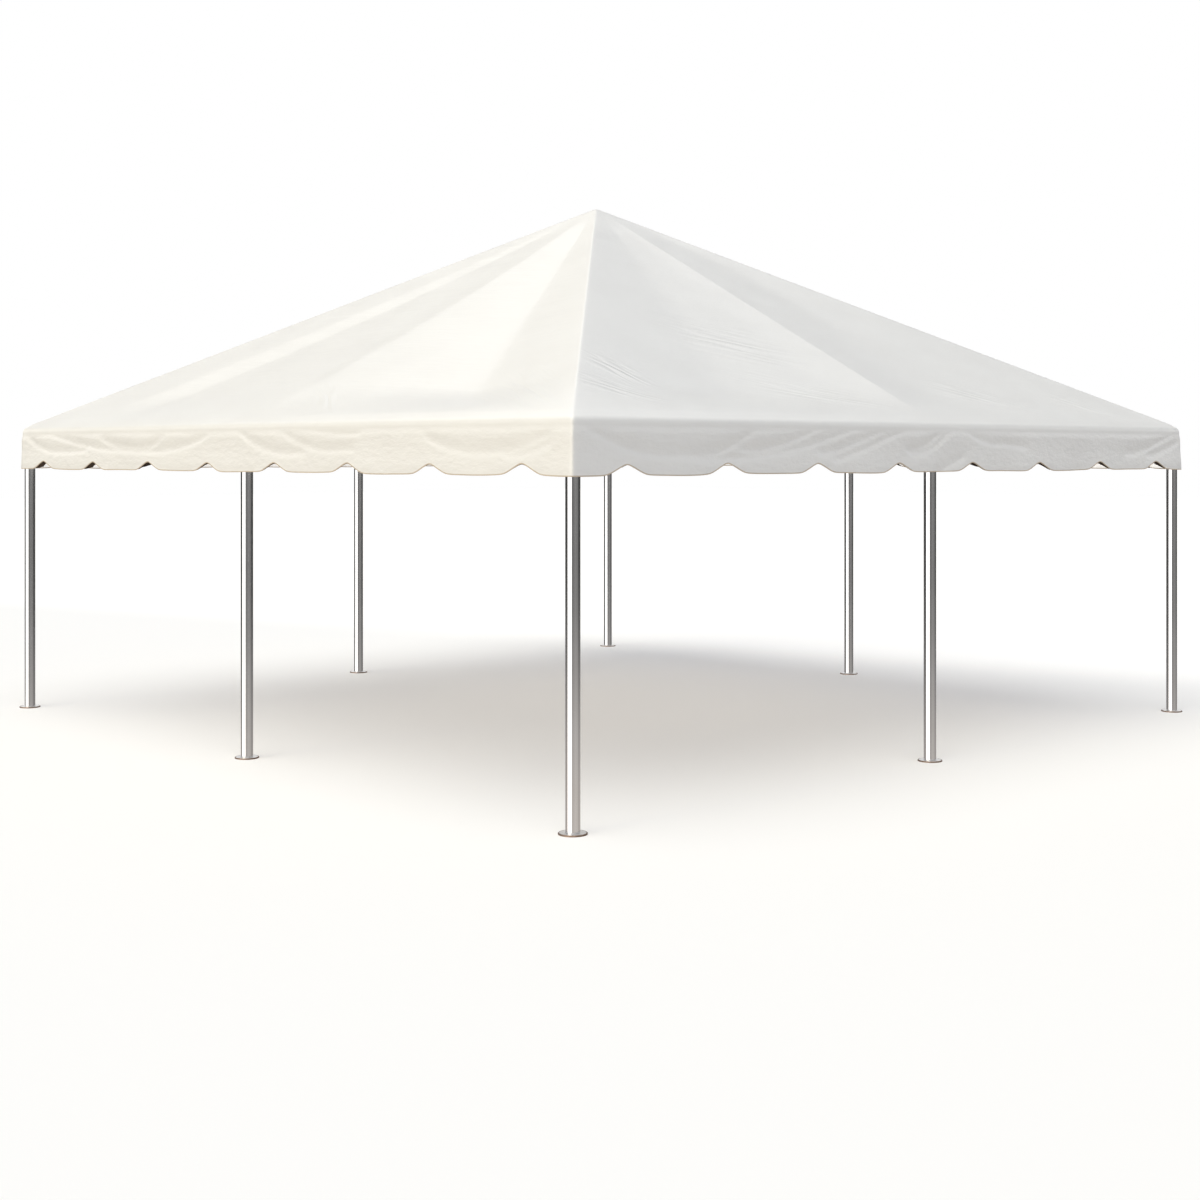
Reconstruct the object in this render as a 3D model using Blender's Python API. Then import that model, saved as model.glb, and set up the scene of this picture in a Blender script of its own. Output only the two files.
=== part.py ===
"""Square frame marquee, 20 ft a side, modelled in metres with +Z up.

The origin is on the ground under the crown. Eight tube legs stand on round base plates, one at each corner
and one at the middle of each side. Sleeve fittings join them to the eave rails and to eight rafters, which
meet in a crown. Four roof panels and four scalloped valances make the canopy. Everything is modelled once for
the front side, which faces -Y, or for its left corner, and is then turned about the Z axis to the other three.
"""

import math

import bmesh
import bpy
from mathutils import Matrix, Vector

# Canopy
CANOPY_SIDE = 6.096
CLOTH = 0.0029
EAVE_HEIGHT = 2.057
HEM_HEIGHT = 1.785
ROOF_PITCH = math.radians(28.34)
SAG = 0.09
SAG_CLEARANCE = 0.03
NOTCHES = 8
NOTCH_DEPTH = 0.058
NOTCH_HALF_WIDTH = 0.135
NOTCH_REACH = 0.155
APEX_ROUNDING = 0.018
FOOT_ROUNDING = 0.006

# Frame tubes and the sleeves that join them
TUBE_RADIUS = 0.0381
TUBE_WALL = 0.003
SLIDE_GAP = 0.0004
SLEEVE_WALL = 0.0033
SLEEVE_START = 0.015
SLEEVE_LENGTH = 0.24
LEG_SLEEVE_LENGTH = 0.20
SOCKET_DEPTH_START = 0.10
LEG_SOCKET_START = 0.06
BALL_RADIUS = 0.040
CROWN_DRUM_RADIUS = 0.056
CROWN_DRUM_DROP = 0.110
CROWN_DRUM_RISE = 0.006
CROWN_SOCKET_START = 0.125
CROWN_SLEEVE_LENGTH = 0.27

# Base plates
PLATE_RADIUS = 0.075
PLATE_THICKNESS = 0.008
PLATE_BEVEL = 0.002
SPIGOT_HEIGHT = 0.080

# Clearance between pieces that touch, and how finely the shapes are made
GAP = 0.0003
SIDES = 20
MERGE = 0.00001
CREASE = math.radians(35)
FOLD_STEPS = 3
ROOF_STEPS = 6
BAY_STEPS = 4
NOTCH_STEPS = 4
TIP = 0.006

# Sizes that follow from the ones above
SLEEVE_BORE = TUBE_RADIUS + SLIDE_GAP
SLEEVE_RADIUS = SLEEVE_BORE + SLEEVE_WALL
CLOTH_INSIDE = SLEEVE_RADIUS + GAP
CLOTH_OUTSIDE = CLOTH_INSIDE + CLOTH
LEG_LINE = CANOPY_SIDE / 2 - CLOTH_OUTSIDE
CROWN_RISE = LEG_LINE * math.tan(ROOF_PITCH)
CROWN_HEIGHT = EAVE_HEIGHT + CROWN_RISE
HIP_RUN = LEG_LINE * math.sqrt(2)
HIP_PITCH = math.atan2(CROWN_RISE, HIP_RUN)
EAVE_REST = LEG_LINE - SLEEVE_LENGTH * math.cos(ROOF_PITCH) - SAG_CLEARANCE
CROWN_REST = CROWN_SLEEVE_LENGTH * math.cos(ROOF_PITCH) + SAG_CLEARANCE

SIDE_NAMES = ("front", "right", "back", "left")
CORNER_NAMES = ("front_left", "front_right", "back_right", "back_left")
HALF_NAMES = (("left", "right"), ("front", "back"), ("right", "left"), ("back", "front"))

UP = Vector((0, 0, 1))
CORNER = Vector((-LEG_LINE, -LEG_LINE, EAVE_HEIGHT))
MIDDLE = Vector((0, -LEG_LINE, EAVE_HEIGHT))
CROWN = Vector((0, 0, CROWN_HEIGHT))


# Scene and materials


def clear_scene():
    """Empty the scene, so that the marquee is all it holds."""
    for obj in list(bpy.data.objects):
        bpy.data.objects.remove(obj)


def finish(name, colour, metallic, roughness):
    """A plain surface finish with the given linear colour."""
    material = bpy.data.materials.new(name)
    material.use_nodes = True
    shader = material.node_tree.nodes["Principled BSDF"]
    shader.inputs["Base Color"].default_value = (*colour, 1)
    shader.inputs["Metallic"].default_value = metallic
    shader.inputs["Roughness"].default_value = roughness
    return material


def link(name, mesh, material, matrix=None):
    """One named sub-part, made from a mesh that its copies may share."""
    obj = bpy.data.objects.new(name, mesh)
    if not mesh.materials:
        mesh.materials.append(material)
    bpy.context.scene.collection.objects.link(obj)
    if matrix is not None:
        obj.matrix_world = matrix
    return obj


def quarter_turn(count):
    """A turn about the Z axis that carries the front side to side number count."""
    return Matrix.Rotation(count * math.pi / 2, 4, "Z")


def aim(start, direction):
    """The placing that puts a shape's own origin at start and its +Z along direction."""
    azimuth = math.atan2(direction.y, direction.x)
    polar = UP.angle(direction)
    turn = Matrix.Rotation(azimuth, 4, "Z") @ Matrix.Rotation(polar, 4, "Y")
    return Matrix.Translation(start) @ turn


def slope(azimuth, pitch):
    """The unit vector that climbs at a pitch towards an azimuth."""
    flat = math.cos(pitch)
    return Vector((flat * math.cos(azimuth), flat * math.sin(azimuth), math.sin(pitch)))


# Turned shapes


def turned(name, profile, closed):
    """Spin a profile of (radius, height) points round the Z axis; a closed profile makes a ring."""
    bm = bmesh.new()
    points = [bm.verts.new((radius, 0, height)) for radius, height in profile]
    last = len(points) if closed else len(points) - 1
    edges = [bm.edges.new((points[i], points[(i + 1) % len(points)])) for i in range(last)]
    bmesh.ops.spin(
        bm,
        geom=points + edges,
        cent=(0, 0, 0),
        axis=UP,
        angle=2 * math.pi,
        steps=SIDES,
        use_merge=True,
    )
    bmesh.ops.remove_doubles(bm, verts=bm.verts, dist=MERGE)
    bmesh.ops.recalc_face_normals(bm, faces=bm.faces)
    return mesh_from(bm, name)


def mesh_from(bm, name):
    """Store a bmesh as a mesh with its round sides shaded smooth."""
    mesh = bpy.data.meshes.new(name)
    bm.to_mesh(mesh)
    bm.free()
    mesh.shade_smooth()
    mesh.set_sharp_from_angle(angle=CREASE)
    return mesh


def rod(name, radius, length):
    """A solid round bar along +Z from the origin."""
    return turned(name, [(0, 0), (radius, 0), (radius, length), (0, length)], closed=False)


def tube(name, length):
    """A frame tube along +Z from the origin, open at both ends."""
    inner = TUBE_RADIUS - TUBE_WALL
    corners = [(inner, 0), (TUBE_RADIUS, 0), (TUBE_RADIUS, length), (inner, length)]
    return turned(name, corners, closed=True)


# Sleeve fittings


class Arm:
    """One arm of a fitting: where it points, how long it is and how far out its socket starts.

    Its sleeve starts just off the fitting's centre, unless sleeve_start says otherwise. An arm that has no
    sleeve of its own is the other end of one that runs through.
    """

    def __init__(self, direction, length, socket_start, sleeve_start=SLEEVE_START, own_sleeve=True):
        self.direction = direction
        self.length = length
        self.socket_start = socket_start
        self.sleeve_start = sleeve_start
        self.own_sleeve = own_sleeve


def guide(mesh, matrix, group):
    """A shape that a fitting is joined with or cut by, kept out of the finished marquee."""
    obj = bpy.data.objects.new(mesh.name, mesh)
    obj.matrix_world = matrix
    obj.hide_render = True
    obj.display_type = "WIRE"
    group.objects.link(obj)
    return obj


def fitting(name, arms, drum=None):
    """Weld the arms to a ball, and to a drum if there is one, then bore each socket from its outer end."""
    sleeves = bpy.data.collections.new(name + "_sleeves")
    bores = bpy.data.collections.new(name + "_bores")
    for group in (sleeves, bores):
        bpy.context.scene.collection.children.link(group)
    for number, arm in enumerate(arms):
        if arm.own_sleeve:
            sleeve = rod(f"{name}_sleeve_{number}", SLEEVE_RADIUS, arm.length - arm.sleeve_start)
            guide(sleeve, aim(arm.direction * arm.sleeve_start, arm.direction), sleeves)
        start = arm.socket_start - GAP
        bore = rod(f"{name}_bore_{number}", SLEEVE_BORE, 2 * arm.length - start)
        guide(bore, aim(arm.direction * start, arm.direction), bores)
    if drum:
        guide(drum, Matrix.Identity(4), sleeves)
    body = guide(ball(name + "_ball", BALL_RADIUS), Matrix.Identity(4), bpy.context.scene.collection)
    weld = body.modifiers.new("weld", "BOOLEAN")
    weld.operation = "UNION"
    weld.operand_type = "COLLECTION"
    weld.collection = sleeves
    for bore in bores.objects:
        cut = body.modifiers.new(bore.name, "BOOLEAN")
        cut.operation = "DIFFERENCE"
        cut.object = bore
    bm = bmesh.new()
    bm.from_object(body, bpy.context.evaluated_depsgraph_get())
    bmesh.ops.remove_doubles(bm, verts=bm.verts, dist=MERGE)
    bmesh.ops.dissolve_degenerate(bm, edges=bm.edges, dist=MERGE)
    mesh = mesh_from(bm, name)
    for obj in [body, *sleeves.objects, *bores.objects]:
        bpy.data.objects.remove(obj)
    for group in (sleeves, bores):
        bpy.data.collections.remove(group)
    return mesh


def ball(name, radius):
    """The welded elbow in the middle of a fitting."""
    bm = bmesh.new()
    bmesh.ops.create_uvsphere(bm, u_segments=SIDES, v_segments=SIDES // 2, radius=radius)
    return mesh_from(bm, name)


def corner_fitting_mesh():
    """The front left corner: a leg below, a rail to the right, a rail to the back and the hip rafter."""
    arms = [
        Arm(-UP, LEG_SLEEVE_LENGTH, LEG_SOCKET_START),
        Arm(Vector((1, 0, 0)), SLEEVE_LENGTH, SOCKET_DEPTH_START),
        Arm(Vector((0, 1, 0)), SLEEVE_LENGTH, SOCKET_DEPTH_START),
        Arm(slope(math.pi / 4, HIP_PITCH), SLEEVE_LENGTH, SOCKET_DEPTH_START),
    ]
    return fitting("corner_fitting", arms)


def side_fitting_mesh():
    """The front side's middle: a leg below, a rail each way and the middle rafter."""
    arms = [
        Arm(-UP, LEG_SLEEVE_LENGTH, LEG_SOCKET_START),
        Arm(Vector((1, 0, 0)), SLEEVE_LENGTH, SOCKET_DEPTH_START, sleeve_start=-SLEEVE_LENGTH),
        Arm(Vector((-1, 0, 0)), SLEEVE_LENGTH, SOCKET_DEPTH_START, own_sleeve=False),
        Arm(slope(math.pi / 2, ROOF_PITCH), SLEEVE_LENGTH, SOCKET_DEPTH_START),
    ]
    return fitting("side_fitting", arms)


def crown_fitting_mesh():
    """The crown: a drum with eight sleeves that fall away to the rafters."""
    arms = []
    for count in range(8):
        pitch = HIP_PITCH if count % 2 else ROOF_PITCH
        arms.append(Arm(slope(count * math.pi / 4, -pitch), CROWN_SLEEVE_LENGTH, CROWN_SOCKET_START))
    drum = rod("crown_drum", CROWN_DRUM_RADIUS, CROWN_DRUM_DROP + CROWN_DRUM_RISE)
    drum.transform(Matrix.Translation((0, 0, -CROWN_DRUM_DROP)))
    return fitting("crown_fitting", arms, drum)


def build_fittings(steel):
    """Four corner fittings, four side fittings and the crown."""
    corner = corner_fitting_mesh()
    side = side_fitting_mesh()
    for count in range(4):
        turn = quarter_turn(count)
        link(f"corner_fitting_{CORNER_NAMES[count]}", corner, steel, turn @ Matrix.Translation(CORNER))
        link(f"side_fitting_{SIDE_NAMES[count]}", side, steel, turn @ Matrix.Translation(MIDDLE))
    link("crown_fitting", crown_fitting_mesh(), steel, Matrix.Translation(CROWN))


# Legs and base plates


def build_legs(metal, steel):
    """Eight legs, each standing on a round plate whose spigot fills the foot of the tube."""
    foot = PLATE_THICKNESS + GAP
    leg = tube("leg", EAVE_HEIGHT - LEG_SOCKET_START - foot)
    spigot = TUBE_RADIUS - TUBE_WALL - SLIDE_GAP
    profile = [
        (0, 0),
        (PLATE_RADIUS, 0),
        (PLATE_RADIUS, PLATE_THICKNESS - PLATE_BEVEL),
        (PLATE_RADIUS - PLATE_BEVEL, PLATE_THICKNESS),
        (spigot, PLATE_THICKNESS),
        (spigot, SPIGOT_HEIGHT),
        (0, SPIGOT_HEIGHT),
    ]
    plate = turned("base_plate", profile, closed=False)
    for count in range(4):
        turn = quarter_turn(count)
        for place, name in ((CORNER, CORNER_NAMES[count]), (MIDDLE, f"{SIDE_NAMES[count]}_middle")):
            ground = Vector((place.x, place.y, 0))
            link(f"leg_{name}", leg, metal, turn @ Matrix.Translation(ground + UP * foot))
            link(f"base_plate_{name}", plate, steel, turn @ Matrix.Translation(ground))


# Eave rails and rafters


def span(name, start, end, start_socket, end_socket, metal, turn, mesh=None):
    """A tube between two fittings, held back from each centre by that fitting's socket depth."""
    direction = (end - start).normalized()
    if mesh is None:
        mesh = tube(name, (end - start).length - start_socket - end_socket)
    link(name, mesh, metal, turn @ aim(start + direction * start_socket, direction))
    return mesh


def build_rails(metal):
    """Two eave rails a side, from each corner fitting to the side fitting between them."""
    far_corner = Vector((-CORNER.x, CORNER.y, CORNER.z))
    ends = SOCKET_DEPTH_START, SOCKET_DEPTH_START
    rail = None
    for count, side in enumerate(SIDE_NAMES):
        for corner, half in zip((CORNER, far_corner), HALF_NAMES[count]):
            rail = span(f"eave_rail_{side}_{half}", corner, MIDDLE, *ends, metal, quarter_turn(count), rail)


def build_rafters(metal):
    """A hip rafter from each corner and a middle rafter from each side, up to the crown."""
    ends = SOCKET_DEPTH_START, CROWN_SOCKET_START
    hip = None
    middle = None
    for count in range(4):
        turn = quarter_turn(count)
        hip = span(f"hip_rafter_{CORNER_NAMES[count]}", CORNER, CROWN, *ends, metal, turn, hip)
        middle = span(f"middle_rafter_{SIDE_NAMES[count]}", MIDDLE, CROWN, *ends, metal, turn, middle)


# Canopy


def roof_profile(offset):
    """Points (distance out, height) of a roof panel's section, at an offset from the tubes' centre line.

    The section climbs round the eave rail from the rail's own height, on flats that touch the round of the
    offset, and then follows the roof's pitch to the tip. It has points where the cloth starts and stops sagging.
    """
    sweep = math.pi / 2 - ROOF_PITCH
    step_angle = sweep / FOLD_STEPS
    polar = [(0, offset)]
    for step in range(FOLD_STEPS):
        polar.append(((step + 0.5) * step_angle, offset / math.cos(step_angle / 2)))
    polar.append((sweep, offset))
    points = [(LEG_LINE + r * math.cos(a), EAVE_HEIGHT + r * math.sin(a)) for a, r in polar]
    foot, height = points[-1]
    stops = [EAVE_REST + (CROWN_REST - EAVE_REST) * step / ROOF_STEPS for step in range(ROOF_STEPS + 1)]
    for out in [*stops, TIP]:
        points.append((out, height + (foot - out) * math.tan(ROOF_PITCH)))
    return points


def sag(across, out):
    """How far the cloth hangs below the flat of the roof, between a rafter and the next.

    It is a trough whose sides fall straight from the two rafters to a valley half-way between them. Up the slope
    its depth follows a parabola, which starts and ends where the cloth has left the rafters' sleeves.
    """
    trough = 1 - abs(2 * abs(across) - 1)
    free = (out - CROWN_REST) / (EAVE_REST - CROWN_REST)
    return SAG * trough * max(0, 4 * free * (1 - free))


def roof_grid(offset):
    """Rows of points over the front roof panel, from the eave up, mitred to the hips at both ends."""
    grid = []
    for out, height in roof_profile(offset):
        row = []
        for column in range(-BAY_STEPS, BAY_STEPS + 1):
            across = column / BAY_STEPS
            row.append(Vector((across * (out - GAP), -out, height - sag(across, out))))
        grid.append(row)
    return grid


def notch(distance):
    """Height of the scalloped hem at a distance from a notch's centre: a rounded peak with soft feet."""
    rounded = math.hypot(distance, APEX_ROUNDING) - APEX_ROUNDING
    slant = NOTCH_DEPTH * (1 - rounded / (NOTCH_HALF_WIDTH - APEX_ROUNDING))
    return (slant + math.hypot(slant, FOOT_ROUNDING)) / 2


def hem_stations():
    """Places along the front side where the hem's outline has a point, and the hem's height there."""
    pitch = CANOPY_SIDE / NOTCHES
    stations = []
    for count in range(NOTCHES):
        centre = (count + 0.5 - NOTCHES / 2) * pitch
        for step in range(-NOTCH_STEPS, NOTCH_STEPS + 1):
            distance = NOTCH_REACH * step / NOTCH_STEPS
            flat = abs(step) == NOTCH_STEPS
            height = 0 if flat else notch(distance)
            stations.append((centre + distance, HEM_HEIGHT + height))
    end = CANOPY_SIDE / 2
    return [(-end, HEM_HEIGHT), *stations, (end, HEM_HEIGHT)]


def valance_grid(out):
    """Two rows of points over the front valance at a distance out: the hem, then the top edge."""
    stations = hem_stations()
    limit = out - GAP
    across = [max(-limit, min(limit, x)) for x, _ in stations]
    top = [Vector((x, -out, EAVE_HEIGHT - GAP)) for x in across]
    hem = [Vector((x, -out, height)) for x, (_, height) in zip(across, stations)]
    return [hem, top]


def sheet(name, outside, inside):
    """A closed sheet between an outer and an inner grid of points."""
    bm = bmesh.new()
    skins = [[[bm.verts.new(point) for point in row] for row in grid] for grid in (outside, inside)]
    rows = len(outside)
    columns = len(outside[0])
    for skin in skins:
        for i in range(rows - 1):
            for j in range(columns - 1):
                bm.faces.new((skin[i][j], skin[i][j + 1], skin[i + 1][j + 1], skin[i + 1][j]))
    rims = []
    for skin in skins:
        bottom = skin[0]
        right = [row[-1] for row in skin[1:]]
        top = skin[-1][-2::-1]
        left = [row[0] for row in skin[-2:0:-1]]
        rims.append(bottom + right + top + left)
    count = len(rims[0])
    for i in range(count):
        following = (i + 1) % count
        bm.faces.new((rims[0][i], rims[0][following], rims[1][following], rims[1][i]))
    bmesh.ops.recalc_face_normals(bm, faces=bm.faces)
    return mesh_from(bm, name)


def build_canopy(cloth):
    """Four roof panels that meet along the hips, and four valances that meet at the corners."""
    roof = sheet("roof_panel", roof_grid(CLOTH_OUTSIDE), roof_grid(CLOTH_INSIDE))
    edge = CANOPY_SIDE / 2
    valance = sheet("valance", valance_grid(edge), valance_grid(edge - CLOTH))
    for count, side in enumerate(SIDE_NAMES):
        turn = quarter_turn(count)
        link(f"roof_panel_{side}", roof, cloth, turn)
        link(f"valance_{side}", valance, cloth, turn)


def build():
    """The whole marquee."""
    clear_scene()
    metal = finish("polished_tube", (0.62, 0.62, 0.63), metallic=1.0, roughness=0.18)
    steel = finish("plated_steel", (0.40, 0.39, 0.38), metallic=1.0, roughness=0.38)
    cloth = finish("coated_cloth", (0.86, 0.84, 0.78), metallic=0.0, roughness=0.55)
    build_legs(metal, steel)
    build_rails(metal)
    build_rafters(metal)
    build_fittings(steel)
    build_canopy(cloth)


build()
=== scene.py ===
# %% [markdown]
# # A frame marquee, dressed for its picture
# A frame marquee is a cloth roof that is stretched over a pyramid of tubes. Eight legs hold it up, and a
# short scalloped wall of cloth, the valance, hangs round the eave. The solids of the frame are loaded first.
# They fix every size and place, and this lesson gives them the surfaces that the real tent has.

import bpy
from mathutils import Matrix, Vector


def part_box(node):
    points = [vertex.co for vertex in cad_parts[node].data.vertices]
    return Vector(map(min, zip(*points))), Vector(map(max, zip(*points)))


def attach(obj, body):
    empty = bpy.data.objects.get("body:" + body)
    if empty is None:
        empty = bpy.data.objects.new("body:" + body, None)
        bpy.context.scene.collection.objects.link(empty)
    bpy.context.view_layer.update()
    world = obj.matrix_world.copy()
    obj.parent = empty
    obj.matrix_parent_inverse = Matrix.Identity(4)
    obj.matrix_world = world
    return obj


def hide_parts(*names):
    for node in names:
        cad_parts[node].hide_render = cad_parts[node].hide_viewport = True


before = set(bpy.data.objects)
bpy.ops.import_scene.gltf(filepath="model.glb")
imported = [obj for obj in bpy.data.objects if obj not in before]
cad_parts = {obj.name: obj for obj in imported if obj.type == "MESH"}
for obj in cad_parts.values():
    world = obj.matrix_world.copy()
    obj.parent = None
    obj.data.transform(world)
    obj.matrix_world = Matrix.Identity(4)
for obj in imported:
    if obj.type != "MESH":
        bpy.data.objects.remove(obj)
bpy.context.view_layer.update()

# %% [markdown]
# ## Sizes
# The roof is a pyramid that lies on tubes, so a few lengths give all of it: how far out and how high the
# eave rails run, how thick the tubes are, and how far the cloth stands off a tube's centre line. Reading
# them from the solids keeps the two models together.

# %% Lengths read from the solids
import math

import bmesh
import bpy
import numpy as np
from mathutils import Vector

SIDES = ("front", "right", "back", "left")
CORNERS = ("front_left", "front_right", "back_right", "back_left")
HALVES = (("left", "right"), ("front", "back"), ("right", "left"), ("back", "front"))

# The side in the picture that each side repeats.
SEEN = ("front", "left", "front", "left")

valance_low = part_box("valance_front")[0]
rail_low, rail_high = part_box("eave_rail_front_left")
corner_low, corner_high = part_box("corner_fitting_front_left")
crown_low, crown_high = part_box("crown_fitting")

EDGE = -valance_low.y
HEM = valance_low.z
TUBE = (rail_high.z - rail_low.z) / 2
EAVE = (rail_high.z + rail_low.z) / 2
RAIL = -(rail_high.y + rail_low.y) / 2
COVER = EDGE - RAIL
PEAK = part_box("roof_panel_front")[1].z
SLEEVE = -RAIL - corner_low.x
print(f"rails {RAIL:.3f} m out and {EAVE:.3f} m up, peak {PEAK:.3f} m, sleeves {SLEEVE:.4f} m in radius")

# %% [markdown]
# The pitch follows from the peak. Seen from the side, the cloth is a line from the peak that touches a
# circle of the cover's radius about the rail, so its angle is that of the line to the rail's centre, less
# the angle by which a tangent leans off that line.

# %% The roof's pitch
PITCH = math.atan2(PEAK - EAVE, RAIL) - math.asin(COVER / math.hypot(PEAK - EAVE, RAIL))
CROWN = EAVE + RAIL * math.tan(PITCH)
HIP_PITCH = math.atan2(CROWN - EAVE, RAIL * math.sqrt(2))
print(f"pitch {math.degrees(PITCH):.2f} degrees at the sides, {math.degrees(HIP_PITCH):.2f} along the hips")

# %% [markdown]
# ## The camera
# The picture is taken from one corner at about head height, with the camera level, because the legs stay
# parallel. The frame is slid down, as a photographer shifts a lens, so that the horizon lies above its
# middle and the legs still don't converge.

# %% Camera
CAMERA_PLACE = (-8.88, -9.38, 1.90)
CAMERA_HEADING = math.radians(43.56)
FOCAL_LENGTH = 52.1
LENS_SHIFT = -0.122


def put(obj):
    """Put an object into the scene."""
    bpy.context.scene.collection.objects.link(obj)
    return obj


camera_data = bpy.data.cameras.new("camera")
camera_data.lens = FOCAL_LENGTH
camera_data.shift_y = LENS_SHIFT
camera = put(bpy.data.objects.new("camera", camera_data))
camera.location = CAMERA_PLACE
camera.rotation_euler = (math.pi / 2, 0, -CAMERA_HEADING)
bpy.context.scene.camera = camera
print("the camera looks", round(math.degrees(CAMERA_HEADING), 1), "degrees to the right of the back")

# %% [markdown]
# ## Shader maths as Python
# A finish is a small graph of nodes. Linking nodes by hand hides the sum that they make, so a wire, which is
# one output of a node, knows how to be added and multiplied, and each sign adds its own Math node. Every
# other node comes from the recipe's one method.


# %% Wires and recipes
class Wire:
    """One output of a shader node, which takes part in sums."""

    def __init__(self, recipe, socket):
        self.recipe = recipe
        self.socket = socket

    def maths(self, operation, *values):
        """A Math node on these values, or on the wire itself."""
        sockets = dict(enumerate(values or (self,)))
        return self.recipe.node("ShaderNodeMath", {"operation": operation}, sockets)

    def __add__(self, other):
        return self.maths("ADD", self, other)

    def __sub__(self, other):
        return self.maths("SUBTRACT", self, other)

    def __rsub__(self, other):
        return self.maths("SUBTRACT", other, self)

    def __mul__(self, other):
        return self.maths("MULTIPLY", self, other)

    __radd__ = __add__
    __rmul__ = __mul__


class Recipe:
    """The node graph of a material or of the world."""

    def __init__(self, owner):
        owner.use_nodes = True
        self.owner = owner
        self.tree = owner.node_tree
        self.tree.nodes.clear()

    def node(self, kind, settings=None, sockets=None, output=0):
        """A node of this kind: its settings first, then each socket's value or wire. It gives one output."""
        made = self.tree.nodes.new(kind)
        for name, value in (settings or {}).items():
            setattr(made, name, value)
        for name, value in (sockets or {}).items():
            socket = self.socket(made, name)
            if isinstance(value, Wire):
                self.tree.links.new(value.socket, socket)
            else:
                socket.default_value = value
        return Wire(self, made.outputs[output])

    def socket(self, made, name):
        """A node's input, by number, identifier or name."""
        known = {socket.identifier: socket for socket in made.inputs}
        return known[name] if name in known else made.inputs[name]

    def vector(self, operation, *values, output=0):
        """A Vector Math node. Its output 1 is a number."""
        return self.node("ShaderNodeVectorMath", {"operation": operation}, dict(enumerate(values)), output)

    def part(self, vector, axis):
        """One number of a vector: 0, 1 or 2 for x, y or z."""
        return self.node("ShaderNodeSeparateXYZ", {}, {0: vector}, axis)

    def metres(self):
        """The piece's own map, in metres."""
        return self.node("ShaderNodeUVMap", {"uv_map": "metres"})

    def colours(self, share, first, second):
        """A mix of two colours."""
        sockets = {"Factor_Float": share, "A_Color": first, "B_Color": second}
        return self.node("ShaderNodeMix", {"data_type": "RGBA"}, sockets, output=2)

    def ramp(self, value, low, high):
        """0 where the value is under low, 1 where it is over high, and a soft step between them."""
        sockets = {"Value": value, "From Min": low, "From Max": high}
        return self.node("ShaderNodeMapRange", {"interpolation_type": "SMOOTHSTEP"}, sockets)

    def noise(self, vector, stretch, detail=2.0, roughness=0.5):
        """Soft noise from -0.5 to 0.5, about one bump for each unit of the stretched vector."""
        placed = self.node("ShaderNodeMapping", {}, {"Vector": vector, "Scale": stretch})
        sockets = {"Vector": placed, "Scale": 1.0, "Detail": detail, "Roughness": roughness}
        return self.node("ShaderNodeTexNoise", {}, sockets) - 0.5

    def relief(self, height, distance):
        """A bump whose height is given in metres for each unit of the wire."""
        return self.node("ShaderNodeBump", {}, {"Strength": 1.0, "Distance": distance, "Height": height})

    def ray(self, kind):
        """1 for rays of one kind, by its number among the light path's outputs."""
        return self.node("ShaderNodeLightPath", output=kind)

    def mixed(self, share, first, second):
        """A mix of two shaders."""
        return self.node("ShaderNodeMixShader", {}, {0: share, 1: first, 2: second})

    def ends(self, shader, kind="ShaderNodeOutputMaterial"):
        """Ends the graph with this shader, and gives its owner."""
        out = self.tree.nodes.new(kind)
        self.tree.links.new(shader.socket, out.inputs["Surface"])
        return self.owner

    def painted(self, sockets):
        """Ends the graph of a material with one surface that has these sockets."""
        return self.ends(self.node("ShaderNodeBsdfPrincipled", {}, sockets))


DIRECTION = 0
PLACE = 3
CAMERA_RAY = 0
GLOSSY_RAY = 3


def recipe(name):
    """A new material's recipe."""
    return Recipe(bpy.data.materials.new(name))


print("sums on wires add Math nodes")

# %% [markdown]
# ## The studio
# The tent stands on a wide white floor under one big soft key light, high on the left and a little behind
# the camera. A weaker warm light stands low on the left. It brightens the left wall, shines in under the
# hem, and gives each leg a faint shadow. White sweeps in a studio are lit from beneath as well, so the floor
# glows a little and the shadow stays pale.

# %% Lights
# Name, direction towards it, strength, width in degrees, and colour.
LIGHTS = [
    ("key", (-0.363, -0.101, 0.926), 2.52, 68, (1.0, 0.953, 0.834)),
    ("low", (-0.95, 0.05, 0.34), 0.35, 12, (1.0, 0.857, 0.50)),
]


def distant_light(name, towards, strength, width, colour):
    """A light so far away that it comes from one direction, spread over an angle."""
    data = bpy.data.lights.new(name, "SUN")
    data.energy = strength
    data.angle = math.radians(width)
    data.color = colour
    light = put(bpy.data.objects.new(name, data))
    light.rotation_mode = "QUATERNION"
    light.rotation_quaternion = Vector(towards).to_track_quat("Z", "Y")


for light in LIGHTS:
    distant_light(*light)
print("a key", LIGHTS[0][3], "degrees wide and a low light")

# %% [markdown]
# The floor is matt white and glows, more towards the back on the right, where the sweep turns up and has its
# own lamps. The tubes don't mirror it: what they mirror is worked out with the room, in the next cell.

# %% Floor
FLOOR_WHITE = (0.60, 0.60, 0.60, 1)
GLOW_SEEN = 0.441
GLOW_NEAR = (0.796, 0.762, 0.721, 1)
GLOW_FAR = (1.0, 0.957, 0.906, 1)
GLOW_ON_TENT = 0.182
GLOW_ON_TENT_COLOUR = (1.0, 0.764, 0.495, 1)
SWEEP_TOWARDS = (0.966, 0.259, 0.0)
SWEEP_TURNS = (3.2, 4.7)
FLOOR_REACH = 60.0
FLOOR_DROP = 0.0004


def floor_paint(sheet, colour, glow):
    """Matt white that glows by itself with this colour and strength."""
    sockets = {"Base Color": FLOOR_WHITE, "Roughness": 1.0, "Specular IOR Level": 0.0}
    sockets |= {"Emission Color": colour, "Emission Strength": glow}
    return sheet.node("ShaderNodeBsdfPrincipled", {}, sockets)


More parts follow.
